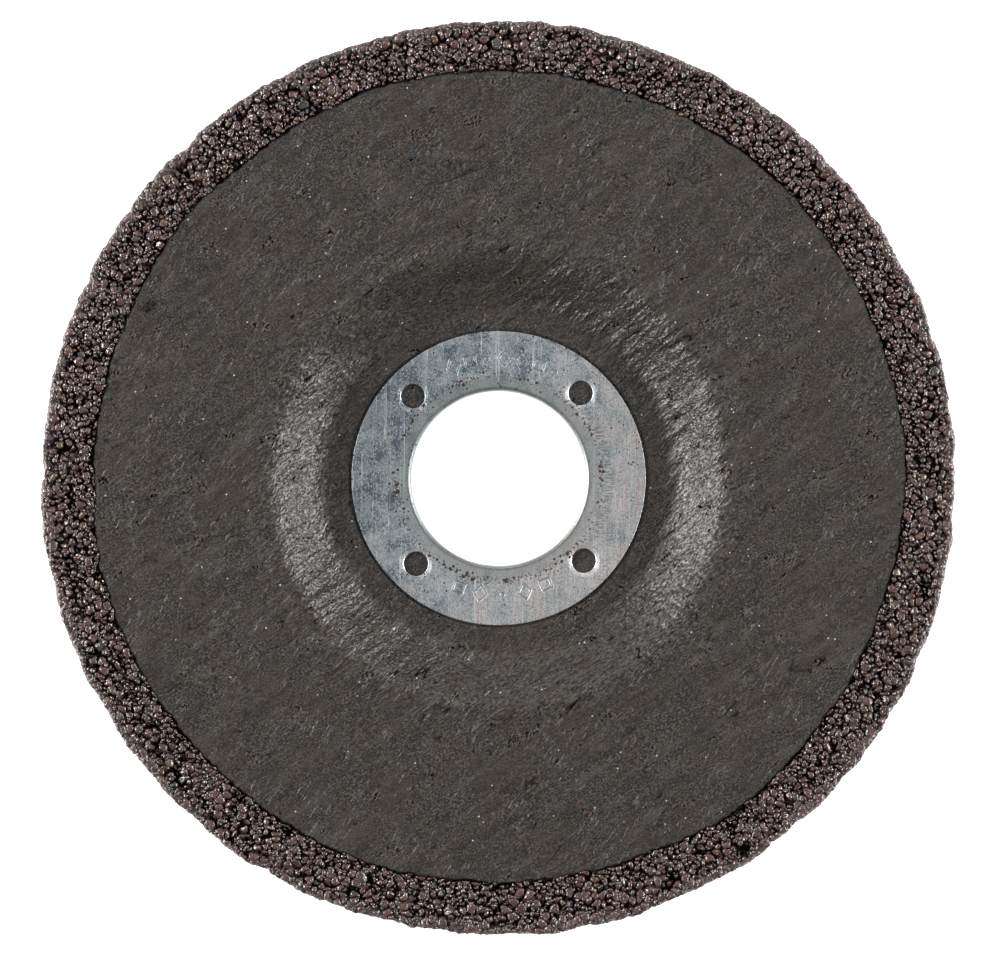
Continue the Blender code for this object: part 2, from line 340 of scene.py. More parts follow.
def facing_paper(look):
    """The charcoal facing paper, moulded over the recess and pressed down under the ring."""
    top = spaced(stack_line("front_paper", 1), lambda r: 0.6 if r < RING_RADIUS else 0.18)
    low = stack_line("front_paper", -1)[::-1]
    radii, stack = np.array(top + low).T[:, :, None]
    turn = angles(PAPER_COLUMNS)
    edge = paper_edge(turn) - PAPER_RADIUS
    radii = radii + edge * smooth_step(PAPER_RADIUS - 3, PAPER_RADIUS, radii)
    relief, tears = paper_relief((radii * np.cos(turn)).ravel(), (radii * np.sin(turn)).ravel())
    relief, tears = relief.reshape(radii.shape), tears.reshape(radii.shape)
    seat = smooth_step(RING_RADIUS, RING_RADIUS + 1.5, radii)
    border = smooth_step(0.30, 0.0, PAPER_RADIUS + edge - radii)
    relief = relief * seat - flange_dip(radii) - 0.06 * border
    points = turned_points(radii, stack + dish(radii) + relief, turn)
    spread = {"tear": (tears * seat).ravel(), "border": border.ravel(), "slope": crumpled(radii).ravel()}
    piece = mesh_piece("facing_paper", points, loop_faces(len(radii), PAPER_COLUMNS), look, **spread)
    hand_over(piece, "front_paper")


# --- Bonded grain ---

RIM_COLUMNS = 3072
GRAIN_PITCH = 0.12  # spacing of the points across a grain
ARRIS = 0.6  # worn corner of the wheel's edge
COARSE, FINE = 0.96, 0.64  # spacing of the grains
CREVICE_DEPTH = 0.12
PAPER_GAP_DEPTH = 0.75
BARE_FROM = PAPER_RADIUS - 1.1  # the grain is modelled from here outwards, and is plain under the paper
STEP = 0.01  # radial run of a step in a profile
SEAM = 0.02  # height left between the two layers where they are bonded
# What the grain looks like where it was pressed smooth against the mould.
MOULDED = {"crevice": 0.0, "tint": 0.5, "resin": 1.0, "pressed": 1.0}


def edge_wander(turn):
    """How far the wheel's edge strays from its circle: short flats, and a notch here and there."""
    wander = 0.22 * round_noise(turn, 140, 3) + 0.10 * round_noise(turn, 420, 4)
    return wander - 0.9 * np.maximum(round_noise(turn, 230, 5) - 0.72, 0)


def grain_tops(grains, size):
    """(relief, crevice, pressed) of round-shouldered grains, the highest pressed flat by the mould."""
    shoulder = 1 - np.clip(grains.border / (0.22 * size), 0, 1)
    fall = 0.42 * size * (1 - np.sqrt(1 - 0.98 * shoulder**2))
    lift = 0.16 - 0.36 * grains.pick(5) ** 1.5
    raw = lift * size + grains.tilt(10, 0.72) - fall
    top = np.minimum(raw, 0.12 * raw)
    crevice = 1 - smooth_step(0.02 * size, 0.11 * size, grains.border)
    return top - CREVICE_DEPTH * crevice, crevice, smooth_step(-0.02, 0.03, raw)


def mix_surface(points, resin, loose):
    """Relief and colouring of the bonded grain at points on a moulded face.

    resin is 0 where the face is bare and 1 where it is smoothed over; loose is 1 where the grains are small.
    """
    wobble = np.stack([noise(points, 0.7, 40 + axis) for axis in range(3)], axis=1)
    bent = points + 0.15 * wobble
    coarse, fine = Grains(bent, COARSE, 50), Grains(bent, FINE, 60)
    gritty = (coarse.pick(1) > 0.72 - 0.32 * loose).astype(float)
    values = []
    for big, small in zip(grain_tops(coarse, COARSE), grain_tops(fine, FINE)):
        values.append(big * (1 - gritty) + small * gritty)
    relief, crevice, pressed = values
    relief -= 0.10 * gritty * coarse.pick(2)
    held = 0.45 * np.clip(0.9 * noise(points, 2.4, 44, octaves=2) - 0.05, 0, 1)
    filled = resin + held * (1 - resin)
    relief = relief * (1 - 0.70 * filled) + 0.035 * noise(points, 0.42, 45, octaves=2)
    tint = coarse.pick(3) * (1 - gritty) + fine.pick(3) * gritty
    crevice = crevice * (1 - 0.70 * filled)
    return relief, {"crevice": crevice, "tint": tint, "resin": filled, "pressed": pressed}


def outward_ways(radii, heights):
    """Radial and upward parts of the unit way out of a closed profile that runs clockwise."""
    along_r = np.roll(radii, -1) - np.roll(radii, 1)
    along_z = np.roll(heights, -1) - np.roll(heights, 1)
    length = np.maximum(np.hypot(along_r, along_z), 1e-9)
    return -along_z / length, along_r / length


def mix_layer(name, node, profile, shown_from, parting, look):
    """A layer of bonded grain from its profile of (radius, stack height) points.

    The grain shows beyond shown_from. parting is the height of the face shared with the other layer.
    """
    radii, stack = np.array(profile).T
    heights = stack + dish(radii)
    way_r, way_z = outward_ways(radii, heights)
    # The shared face stays flat and its corner moves only in or out, so no groove opens between the layers.
    shared = np.abs(stack - parting) < 0.005
    way_r[shared] = radii[shared] > WHEEL_RADIUS - 0.01
    way_z[shared] = 0
    turn = angles(RIM_COLUMNS)
    shape = (len(radii), RIM_COLUMNS)
    points = turned_points(radii[:, None], np.broadcast_to(heights[:, None], shape), turn).reshape(*shape, 3)
    shown = radii > shown_from
    shown_radii = radii[shown][:, None]
    ragged = 0.6 * round_noise(turn, 90, 22)
    resin = 0.65 * smooth_step(WHEEL_RADIUS - 1.7, WHEEL_RADIUS - 0.4, shown_radii + ragged)
    loose = 1 - smooth_step(PAPER_RADIUS + 0.5, PAPER_RADIUS + 4.5, shown_radii + 0 * turn)
    relief, values = mix_surface(points[shown].reshape(-1, 3), resin.ravel(), loose.ravel())
    relief = relief.reshape(-1, RIM_COLUMNS)

    # The work face starts where the paper ends, with a ragged gap between the two.
    start = paper_edge(turn) + 0.10 + 0.20 * round_noise(turn, 170, 21)
    under_paper = (stack[shown] > THICKNESS - 0.01)[:, None] * smooth_step(0.05, -0.30, shown_radii - start)
    relief = relief - PAPER_GAP_DEPTH * under_paper
    # The gap counts as a crevice, so it gets the same painted shade.
    values["crevice"] = np.maximum(values["crevice"], under_paper.ravel())

    full = np.zeros(shape)
    full[shown] = relief
    strays = edge_wander(turn) * smooth_step(WHEEL_RADIUS - 3, WHEEL_RADIUS - 1, radii)[:, None]
    out = radii[:, None] + way_r[:, None] * full + strays
    up = heights[:, None] + way_z[:, None] * full
    spread = {}
    for key, value in values.items():
        whole = np.full(shape, MOULDED[key])
        whole[shown] = value.reshape(-1, RIM_COLUMNS)
        spread[key] = whole.ravel()
    piece = mesh_piece(name, turned_points(out, up, turn), loop_faces(*shape), look, **spread)
    hand_over(piece, node)


def front_mix(look):
    """The work side's layer: bare grain round the paper, a worn arris and the upper half of the edge."""
    top = [p for p in stack_line("front_abrasive_layer", 1) if p[0] < BARE_FROM]
    low = stack_line("front_abrasive_layer", -1)[::-1]
    # Outside the middle net the two layers are bonded, so the gap between their CAD solids is closed here.
    parting = low[0][1]
    seam = stack_line("back_abrasive_layer", 1)[-1][1] + SEAM
    low = [(r, z if z > parting + 0.01 else seam) for r, z in low]
    face = spaced([(BARE_FROM + STEP, THICKNESS), (WHEEL_RADIUS - ARRIS, THICKNESS)], grain_pitch)
    arris = quarter_round((WHEEL_RADIUS - ARRIS, THICKNESS - ARRIS), ARRIS, 90)
    wall = spaced([arris[-1], (WHEEL_RADIUS, low[0][1])], grain_pitch)
    profile = top + [(BARE_FROM, top[-1][1])] + face + arris[1:] + wall[1:] + low[1:]
    mix_layer("front_grain", "front_abrasive_layer", profile, BARE_FROM, seam, look)


def back_mix(look):
    """The machine side's layer: the lower half of the edge, and bare grain outside the label."""
    shown_from = node_radii("label")[1] - 0.5
    net_end = node_radii("back_glass_net")[1]
    low = stack_line("back_abrasive_layer", -1)
    rim = low[-1][1] - ARRIS
    low = [p for p in low if p[0] < shown_from][::-1]
    top = stack_line("back_abrasive_layer", 1)
    wall = spaced([(WHEEL_RADIUS, top[-1][1]), (WHEEL_RADIUS, rim + ARRIS)], grain_pitch)
    arris = quarter_round((WHEEL_RADIUS - ARRIS, rim + ARRIS), ARRIS, 0)
    recess = NET_LOW + 0.14  # the grain stands back between the yarns
    face = [arris[-1], (net_end + 0.5, rim), (net_end + 0.1, recess), (shown_from + STEP, recess)]
    profile = top[:-1] + wall + arris[1:] + spaced(face, grain_pitch)[1:] + low
    mix_layer("back_grain", "back_abrasive_layer", profile, shown_from, top[-1][1], look)


def grain_pitch(radius):
    return GRAIN_PITCH


# --- Arbor ring ---

RING_COLUMNS = 1200
RUST_PATCHES = ((112, 21), (148, 41), (186, 81), (-84, 41), (28, 61))  # (degrees, narrowness)
HOLE_ROLL = 0.13  # how far the holes' edges are drawn down
MARK_DEPTH = 0.075
DIAMOND_SLANT, DIAMOND_REACH = (0.62, 0.78), 0.64
SQUARE_REACH = 0.66
DOT_RADIUS = 0.20
STAMPED_ARCS = (  # (radius, first and last angle in degrees, marks)
    (15.2, 112, 62, ("diamond", "square", "dot", "diamond", "diamond", "square", "dot")),
    (14.7, -110, -66, ("square", "diamond", "dot", "diamond", "square")),
)


def from_holes(x, y):
    """Distance from the edge of the nearest anchor hole, which is below zero inside it."""
    return np.min([np.hypot(x - hx, y - hy) - radius for hx, hy, radius in anchor_holes()], axis=0)


def from_outline(kind, out, side):
    """Distance from the outline of a mark, from the distances off its middle outwards and sideways."""
    if kind == "diamond":
        return np.abs(DIAMOND_SLANT[0] * out + DIAMOND_SLANT[1] * side - DIAMOND_REACH)
    if kind == "square":
        return np.abs(np.maximum(out, side) - SQUARE_REACH)
    return np.abs(np.hypot(out, side) - DOT_RADIUS)


def stamp_depth(x, y):
    """Depth, from 0 to 1, of the thin outlines of the plain marks that are pressed into the flange."""
    depth = np.zeros_like(x)
    for radius, first, last, kinds in STAMPED_ARCS:
        for kind, angle in zip(kinds, np.radians(np.linspace(first, last, len(kinds)))):
            out = np.abs(x * math.cos(angle) + y * math.sin(angle) - radius)
            side = np.abs(y * math.cos(angle) - x * math.sin(angle))
            depth = np.maximum(depth, smooth_step(0.17, 0.04, from_outline(kind, out, side)))
    return depth


def open_edges(faces):
    """(start, end) of each edge that belongs to only one of the faces."""
    ways = np.stack([faces.ravel(), np.roll(faces, -1, axis=1).ravel()], axis=1).astype(np.int64)
    pairs = np.sort(ways, axis=1)
    keys = pairs[:, 0] * (faces.max() + 1) + pairs[:, 1]
    _, index, uses = np.unique(keys, return_inverse=True, return_counts=True)
    return ways[uses[index] == 1]


def thickened(upper, lower, faces):
    """A closed shell from two matched sheets of points and the quads that both share."""
    count = len(upper)
    edges = open_edges(faces)
    sides = np.stack([edges[:, 1], edges[:, 0], edges[:, 0] + count, edges[:, 1] + count], axis=1)
    return np.concatenate([upper, lower]), np.concatenate([faces, faces[:, ::-1] + count, sides])


def ring_section():
    """The ring's two faces as matched (radius, height) points, from its outer edge to the bore."""
    soft = 0.07  # rounding of the punched outer edge
    lip_radius = BORE_RADIUS + LIP_BEND
    edge = quarter_round((RING_RADIUS - soft, RING_TOP - soft), soft, 90, 3)[::-1]
    flange = spaced([(RING_RADIUS - soft, RING_TOP), (lip_radius, RING_TOP)], lambda r: 0.09)[1:]
    lip = quarter_round((lip_radius, RING_TOP - LIP_BEND), LIP_BEND, 180, 8)[::-1][1:]
    inner_lip = quarter_round((lip_radius, RING_TOP - LIP_BEND), LIP_BEND - RING_METAL, 180, 8)[::-1][1:]
    collar = spaced([(BORE_RADIUS, RING_TOP - LIP_BEND), (BORE_RADIUS, COLLAR_END)], lambda r: 0.35)[1:]
    upper = np.array(edge + flange + lip + collar)
    lower = [(r, RING_TOP - RING_METAL) for r, z in edge + flange] + inner_lip
    lower = np.array(lower + [(BORE_RADIUS + RING_METAL, z) for r, z in collar])
    dip = flange_dip(upper[:, 0]) * smooth_step(COLLAR_END, RING_TOP - 1, upper[:, 1])
    upper[:, 1] -= dip
    lower[:, 1] -= dip
    return upper, lower


def arbor_ring(look):
    """The pressed steel washer, with its holes, its stamped marks and the lip drawn into the bore."""
    upper, lower = ring_section()
    turn = angles(RING_COLUMNS)
    rows = len(upper)
    x = upper[:, 0, None] * np.cos(turn)
    y = upper[:, 0, None] * np.sin(turn)
    faces = strip_faces(rows, RING_COLUMNS)
    faces = faces[(from_holes(x, y).ravel()[faces] > 0).all(axis=1)]
    used = np.zeros(rows * RING_COLUMNS, bool)
    used[faces] = True

    # The points along each hole's rim are moved onto its circle.
    x, y = x.ravel(), y.ravel()
    on_edge = np.unique(open_edges(faces))
    for hx, hy, radius in anchor_holes():
        reach = np.hypot(x[on_edge] - hx, y[on_edge] - hy)
        rim, reach = on_edge[reach < radius + 0.5], reach[reach < radius + 0.5]
        x[rim] = hx + (x[rim] - hx) * radius / reach
        y[rim] = hy + (y[rim] - hy) * radius / reach

    flat = np.stack([x, y], axis=1)
    radius = np.hypot(x, y)
    on_flange = smooth_step(BORE_RADIUS + LIP_BEND, BORE_RADIUS + LIP_BEND + 0.8, radius)
    wave = 0.020 * noise(flat, 6.0, 80, octaves=2) * on_flange
    rolled = HOLE_ROLL * smooth_step(0.62, 0.0, from_holes(x, y))
    stamped = stamp_depth(x, y)
    top_height = np.repeat(upper[:, 1], RING_COLUMNS) + wave - rolled - MARK_DEPTH * stamped
    bottom_height = np.repeat(lower[:, 1], RING_COLUMNS) + wave - rolled
    squeeze = np.repeat(lower[:, 0] / upper[:, 0], RING_COLUMNS)
    top = np.stack([x, y, top_height], axis=1)
    bottom = np.stack([x * squeeze, y * squeeze, bottom_height], axis=1)
    kept = np.cumsum(used) - 1
    points, faces = thickened(top[used], bottom[used], kept[faces])

    spread = wear_and_painted_light(x, y)
    # The stamped depth also sets the marks' painted shade.
    spread["stamped"] = stamped
    spread = {key: np.tile(value[used], 2) for key, value in spread.items()}
    piece = mesh_piece("steel_ring", points, faces, look, **spread)
    hand_over(piece, "arbor_ring")


def wear_and_painted_light(x, y):
    """How far the ring is lit by a painted reflection (on the right), rusty and dull (round the dip),
    scuffed (outside it).
    """
    flat = np.stack([x, y], axis=1)
    radius = np.hypot(x, y)
    heading = np.arctan2(y, x)
    # Painted reflection: lighter towards the right, so darker and bluer towards the upper left, with random
    # patches.
    painted_reflection = 0.5 + 0.42 * np.cos(heading + math.radians(35)) + 0.22 * noise(flat, 5.0, 82)
    rusty = 0.80 + 0.30 * round_noise(heading, 23, 83)
    for degrees, narrowness in RUST_PATCHES:
        rusty = np.maximum(rusty, 1.25 * np.cos(heading - math.radians(degrees)) ** narrowness)
    rusty = rusty * np.exp(-(((radius - DIP_START + 0.10) / 0.60) ** 2))
    scuffed = np.exp(-(((radius - DIP_START - 0.8) / 0.7) ** 2)) * smooth_step(0.70, 0.92, np.cos(heading))
    dip = 1 - smooth_step(DIP_START - 0.5, DIP_START, radius)
    from_bore = radius - BORE_RADIUS
    # The band of the bend into the bore, which gets painted shade.
    lip = smooth_step(0.05, 0.14, from_bore) * smooth_step(0.62, 0.42, from_bore)
    return {"painted_reflection": painted_reflection, "rusty": rusty, "scuffed": scuffed, "dip": dip, "lip": lip}


# --- Label ---

LABEL_COLUMNS = 720


def label(look):
    """The round printed label, moulded over the back of the hub."""
    low, top = (spaced(stack_line("label", side), lambda r: 0.6) for side in (-1, 1))
    radii, stack = np.array(low + top[::-1]).T[:, :, None]
    turn = angles(LABEL_COLUMNS)
    flat = np.stack([(radii * np.cos(turn)).ravel(), (radii * np.sin(turn)).ravel()], axis=1)
    relief = np.abs(0.035 * noise(flat, 2.2, 90, octaves=2)).reshape(len(radii), -1)
    points = turned_points(radii, stack + dish(radii) + relief, turn)
    radius = np.broadcast_to(radii, relief.shape).ravel()
    piece = mesh_piece("printed_label", points, loop_faces(len(radii), turn.size), look, radius=radius)
    hand_over(piece, "label")


# --- Glass nets ---

NET_PITCH = 5.0
YARN_HALF_WIDTH = 0.55
YARN_HALF_THICKNESS = 0.075
YARN_SIDES = 8
YARN_STEP = 0.6  # length of yarn between two rings of points
CROSSING_RISE = 0.05  # how far a yarn rises and sinks where it crosses the others
NET_TURNS = {  # degrees round the axis
    "back_glass_net": 0,
    "hub_glass_net": 0,
    "middle_glass_net": 35,
    "front_glass_net": 12,
}


def yarn_runs(across, inner, outer):
    """(start, end) of the parts of a yarn, across millimetres off the axis, that lie between two circles."""
    clear = abs(across) + YARN_HALF_WIDTH
    if clear >= outer - 1:
        return []
    end = math.sqrt(outer**2 - clear**2)
    gap = inner**2 - max(abs(across) - YARN_HALF_WIDTH, 0) ** 2
    if gap <= 0:
        return [(-end, end)]
    start = math.sqrt(gap)
    return [(-end, -start), (start, end)]


def yarn_tube(along, across, height):
    """Points and quads of one yarn, a flat tube whose middle line is (along, across, height)."""
    turn = np.arange(YARN_SIDES) * TURN / YARN_SIDES
    side = across + YARN_HALF_WIDTH * np.cos(turn)
    up = height[:, None] + YARN_HALF_THICKNESS * np.sin(turn)
    points = np.stack(np.broadcast_arrays(along[:, None], side[None, :], up), axis=-1).reshape(-1, 3)
    last = (len(along) - 1) * YARN_SIDES
    ring, spot = np.meshgrid(np.arange(0, last, YARN_SIDES), np.arange(YARN_SIDES), indexing="ij")
    ahead, following = (spot + 1) % YARN_SIDES, ring + YARN_SIDES
    corners = [ring + spot, ring + ahead, following + ahead, following + spot]
    faces = np.stack(corners, axis=-1).reshape(-1, 4)
    cap = np.array([(0, 7, 2, 1), (7, 6, 3, 2), (6, 5, 4, 3)])
    return points, np.concatenate([faces, cap, cap[:, ::-1] + last])


def woven_net(node, degrees, look):
    """A net of glass yarns in plain weave, cut to its CAD node's ring and bent to the dish."""
    inner, outer = node_radii(node)
    line = np.array(stack_line(node, -1))
    thickness = (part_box(node)[1].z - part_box(node)[0].z) / MM - np.ptp(face_line(node, -1)[:, 1])
    count = int(outer // NET_PITCH)
    points, faces, total = [], [], 0
    for way in (0, 1):
        for index in range(-count, count + 1):
            across = index * NET_PITCH
            for start, end in yarn_runs(across, inner, outer):
                along = np.linspace(start, end, max(4, round((end - start) / YARN_STEP)))
                radius = np.hypot(along, across)
                weave = CROSSING_RISE * np.cos(math.pi * (along / NET_PITCH + index + way))
                height = np.interp(radius, *line.T) + dish(radius) + thickness / 2 + weave
                tube, quads = yarn_tube(along, across, height)
                if way:
                    tube = tube[:, [1, 0, 2]] * (-1, 1, 1)
                points.append(tube)
                faces.append(quads + total)
                total += len(tube)
    points, faces = np.concatenate(points), np.concatenate(faces)
    turn = math.radians(degrees)
    x = points[:, 0] * math.cos(turn) - points[:, 1] * math.sin(turn)
    y = points[:, 0] * math.sin(turn) + points[:, 1] * math.cos(turn)
    piece = mesh_piece(f"woven_{node}", np.stack([x, y, points[:, 2]], axis=1), faces, look)
    hand_over(piece, node)


# --- Materials ---

class Look:
    """A material under construction, with a short call for each kind of node that it needs."""

    COLOUR_A, COLOUR_B, COLOUR_RESULT = 6, 7, 2  # sockets of the mix node, whose names repeat for each type

    def __init__(self, name, **sockets):
        self.material = bpy.data.materials.new(name)
        self.material.use_nodes = True
        self.tree = self.material.node_tree
        self.shader = self.tree.nodes["Principled BSDF"]
        for key, value in sockets.items():
            self.shader.inputs[key.replace("_", " ")].default_value = value
        self.place = self.node("ShaderNodeTexCoord").outputs["Object"]

    def node(self, kind, **settings):
        made = self.tree.nodes.new(kind)
        for key, value in settings.items():
            setattr(made, key, value)
        return made

    def link(self, value, socket):
        if isinstance(value, bpy.types.NodeSocket):
            self.tree.links.new(value, socket)
        else:
            socket.default_value = value

    def mapped(self, degrees=0.0, stretch=(1, 1, 1)):
        """Object coordinates turned about Z, then squeezed so that patterns stretch along each axis."""
        turned = self.node("ShaderNodeMapping", vector_type="POINT")
        self.link(self.place, turned.inputs["Vector"])
        turned.inputs["Rotation"].default_value = (0, 0, -math.radians(degrees))
        squeezed = self.node("ShaderNodeMapping", vector_type="POINT")
        self.link(turned.outputs["Vector"], squeezed.inputs["Vector"])
        squeezed.inputs["Scale"].default_value = [1 / s for s in stretch]
        return squeezed.outputs["Vector"]

    def noise(self, size, detail=3.0, rough=0.55, place=None, distortion=0.0):
        """Noise from 0 to 1 that varies over size millimetres."""
        made = self.node("ShaderNodeTexNoise")
        self.link(self.place if place is None else place, made.inputs["Vector"])
        numbers = {"Scale": 1 / (size * MM), "Detail": detail, "Roughness": rough, "Distortion": distortion}
        for key, number in numbers.items():
            made.inputs[key].default_value = number
        return made.outputs["Fac"]

    def cells(self, size):
        """Distance from the nearest of random points, about size millimetres apart, as a share of size."""
        made = self.node("ShaderNodeTexVoronoi")
        self.link(self.place, made.inputs["Vector"])
        made.inputs["Scale"].default_value = 1 / (size * MM)
        return made.outputs["Distance"]

    def value(self, key):
        return self.node("ShaderNodeAttribute", attribute_name=key).outputs["Fac"]

    def math(self, operation, first, second=0.0, clamp=False):
        made = self.node("ShaderNodeMath", operation=operation, use_clamp=clamp)
        self.link(first, made.inputs[0])
        self.link(second, made.inputs[1])
        return made.outputs["Value"]

    def times(self, first, second):
        return self.math("MULTIPLY", first, second)

    def remap(self, value, low, high, to_low=0.0, to_high=1.0):
        """The value's run from low to high made to run from to_low to to_high, with smooth ends."""
        made = self.node("ShaderNodeMapRange", interpolation_type="SMOOTHSTEP")
        self.link(value, made.inputs["Value"])
        for key, number in zip(("From Min", "From Max", "To Min", "To Max"), (low, high, to_low, to_high)):
            made.inputs[key].default_value = number
        return made.outputs["Result"]

    def band(self, value, low, high, soft):
        """1 where the value lies between low and high, fading out over soft at both ends."""
        rise = self.remap(value, low, low + soft)
        return self.times(rise, self.remap(value, high - soft, high, 1.0, 0.0))

    def ramp(self, value, stops):
        """Colours along a value, from (position, colour) stops."""
        made = self.node("ShaderNodeValToRGB")
        self.link(value, made.inputs["Fac"])
        elements = made.color_ramp.elements
        while len(elements) < len(stops):
            elements.new(0.5)
        for element, (position, colour) in zip(elements, stops):
            element.position = position
            element.color = (*colour, 1)
        return made.outputs["Color"]

    def mix(self, share, first, second):
        """The first colour (a socket or a tuple) turning into the second as share goes from 0 to 1."""
        made = self.node("ShaderNodeMix", data_type="RGBA")
        self.link(share, made.inputs["Factor"])
        for value, key in ((first, self.COLOUR_A), (second, self.COLOUR_B)):
            self.link((*value, 1) if isinstance(value, tuple) else value, made.inputs[key])
        return made.outputs[self.COLOUR_RESULT]

    def stain(self, colour, *layers):
        """The colour turning into each tint, by up to share, as its source goes from none_at to full_at."""
        for source, none_at, full_at, share, tint in layers:
            colour = self.mix(self.remap(source, none_at, full_at, 0.0, share), colour, tint)
        return colour

    def bump(self, height, depth, normal=None):
        """A bump normal from a height of 0 to 1 that stands depth millimetres."""
        made = self.node("ShaderNodeBump")
        self.link(height, made.inputs["Height"])
        made.inputs["Distance"].default_value = depth * MM
        made.inputs["Strength"].default_value = 1.0
        if normal is not None:
            self.link(normal, made.inputs["Normal"])
        return made.outputs["Normal"]

    def finish(self, colour, roughness, normal, gloss=0.5):
        ends = {"Base Color": colour, "Roughness": roughness, "Normal": normal, "Specular IOR Level": gloss}
        for key, value in ends.items():
            self.link(value, self.shader.inputs[key])
        return self.material


# --- Finishes ---

def grey(level):
    return (level, level, level)


def grain_look():
    """Purple-brown grain: glossy shoulders, matt tops, painted shade in the gaps and a few odd-coloured
    grains.
    """
    look = Look("bonded_grain")
    crevice, resin, pressed = look.value("crevice"), look.value("resin"), look.value("pressed")
    colour = look.ramp(look.value("tint"), [
        (0.00, (0.034, 0.038, 0.044)),
        (0.08, (0.034, 0.021, 0.022)),
        (0.14, (0.048, 0.015, 0.014)),
        (0.50, (0.072, 0.022, 0.018)),
        (0.88, (0.092, 0.034, 0.026)),
        (0.95, (0.120, 0.055, 0.030)),
        (1.00, (0.115, 0.080, 0.036)),
    ])
    dust = look.remap(look.noise(0.5, detail=4), 0.35, 0.7)
    top_colour = look.mix(dust, (0.060, 0.031, 0.029), (0.038, 0.019, 0.018))
    matt = look.math("MAXIMUM", look.times(pressed, 0.6), look.times(resin, 0.85))
    colour = look.mix(matt, colour, top_colour)
    olive = look.remap(look.noise(1.7, detail=2), 0.66, 0.74)
    olive = look.times(olive, look.remap(look.noise(0.30, detail=2), 0.42, 0.60, 0.0, 0.8))
    colour = look.mix(olive, colour, (0.125, 0.098, 0.042))
    rust, grit = look.noise(0.62, detail=2), look.noise(0.15, detail=1)
    colour = look.stain(
        colour,
        (rust, 0.70, 0.76, 0.70, (0.150, 0.066, 0.032)),
        (grit, 0.46, 0.34, 0.85, (0.016, 0.007, 0.007)),
        (grit, 0.57, 0.67, 0.70, (0.190, 0.112, 0.098)),
    )
    # Painted shade: the crevices, and the gap along the paper's edge, are coloured near black.
    colour = look.mix(crevice, colour, (0.0030, 0.0016, 0.0016))
    glassy = look.remap(look.noise(0.4, detail=2), 0.3, 0.7, 0.06, 0.16)
    roughness = look.mix(matt, glassy, grey(0.40))
    roughness = look.mix(look.remap(crevice, 0.3, 1.0), roughness, grey(0.9))
    normal = look.bump(look.noise(0.24, detail=1, rough=0.5), 0.13)
    return look.finish(colour, roughness, normal, gloss=look.remap(crevice, 0.3, 1.0, 1.0, 0.0))


def paper_colour(look, speckle):
    """Charcoal with brown and blue-grey speckle, soft streaks, rusty fibres and bright specks."""
    colour = look.ramp(speckle, [
        (0.32, grey(0)),
        (0.50, (0.0165, 0.0140, 0.0120)),
        (0.68, (0.080, 0.069, 0.059)),
    ])
    tints = look.noise(0.42, detail=2, rough=0.7)
    clouds = look.noise(6.0, detail=4, rough=0.6)
    blue = look.noise(1.6, detail=3, place=look.mapped(38, (2.5, 1, 1)))
    streaks = look.noise(1.3, detail=3, rough=0.6, place=look.mapped(36, (5, 1, 1)))
    fibres = look.noise(0.50, detail=2, place=look.mapped(50, (2, 1, 1)))
    colour = look.stain(
        colour,
        (tints, 0.52, 0.70, 0.65, (0.046, 0.026, 0.016)),
        (tints, 0.48, 0.32, 0.60, (0.010, 0.015, 0.018)),
        (clouds, 0.40, 0.66, 0.55, (0.027, 0.020, 0.015)),
        (blue, 0.56, 0.70, 0.45, (0.013, 0.017, 0.020)),
        (streaks, 0.50, 0.34, 0.45, (0.007, 0.006, 0.005)),
        (streaks, 0.52, 0.68, 0.40, (0.050, 0.045, 0.040)),
        (fibres, 0.68, 0.75, 0.60, (0.100, 0.046, 0.021)),
    )
    specks = look.remap(look.cells(2.1), 0.040, 0.062, 1.0, 0.0)
    return look.mix(look.times(specks, 0.9), colour, (0.40, 0.41, 0.42))


def paper_chips(look):
    """(chip, rim): where the flaky patches have lost a chip, and the pale rim round it."""
    flaky = look.remap(look.noise(2.0, detail=2, place=look.mapped(25, (1.8, 1, 1))), 0.62, 0.69)
    chips = look.noise(0.27, detail=2, rough=0.7, place=look.mapped(60, (1.6, 1, 1)))
    chip = look.times(flaky, look.remap(chips, 0.51, 0.58))
    rim = look.times(flaky, look.remap(chips, 0.45, 0.37))
    return chip, rim


def paper_strokes(look):
    """(dark, light): clusters of short slanting strokes, for painted shade between them and painted
    highlights on them.
    """
    strokes = look.noise(0.34, detail=2, place=look.mapped(58, (5.0, 1, 1)), distortion=0.5)
    clusters = look.remap(look.noise(4.5, detail=2), 0.44, 0.64)
    dark = look.times(look.remap(strokes, 0.38, 0.26), clusters)
    light = look.times(look.remap(strokes, 0.60, 0.76), clusters)
    return dark, light


